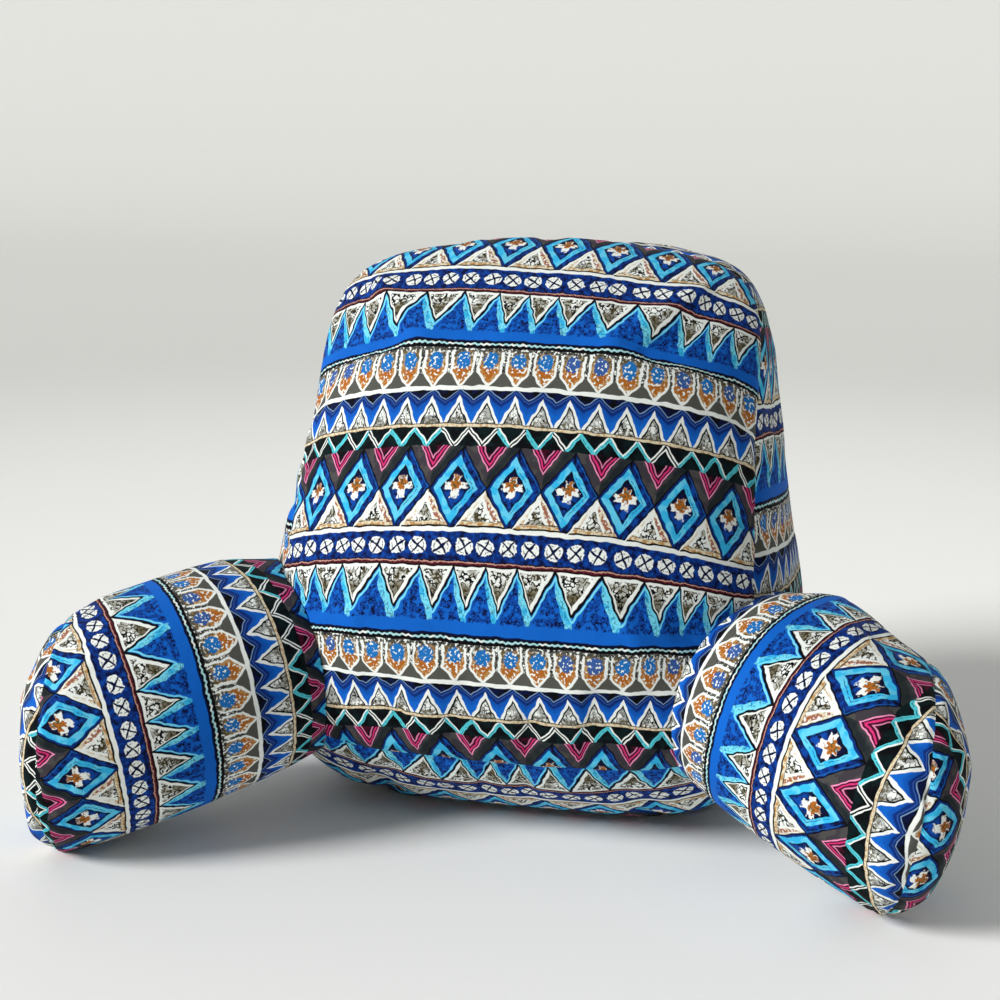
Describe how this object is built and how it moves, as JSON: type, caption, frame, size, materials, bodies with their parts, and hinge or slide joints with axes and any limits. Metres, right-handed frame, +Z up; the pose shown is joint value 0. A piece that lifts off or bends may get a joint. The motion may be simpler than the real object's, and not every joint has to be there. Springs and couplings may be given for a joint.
{
  "type": "reading pillow with arms",
  "caption": "A stuffed reading pillow: a reclined boxed back cushion with a stuffed, outward-curving arm sewn to each lower side, covered in printed cloth",
  "frame": {"origin": "centre of the bounding box, on the surface that the pillow stands on", "axes": "+Z up. -Y is the way the sitter faces, so the back leans away along +Y. +X is the sitter's left"},
  "size_m": [0.7012, 0.4684, 0.4519],
  "materials": {
    "printed_cloth": "matt woven cotton with a striped print"
  },
  "bodies": {
    "root": {"back": "printed_cloth", "arm_left": "printed_cloth", "arm_right": "printed_cloth"}
  },
  "joints": []
}
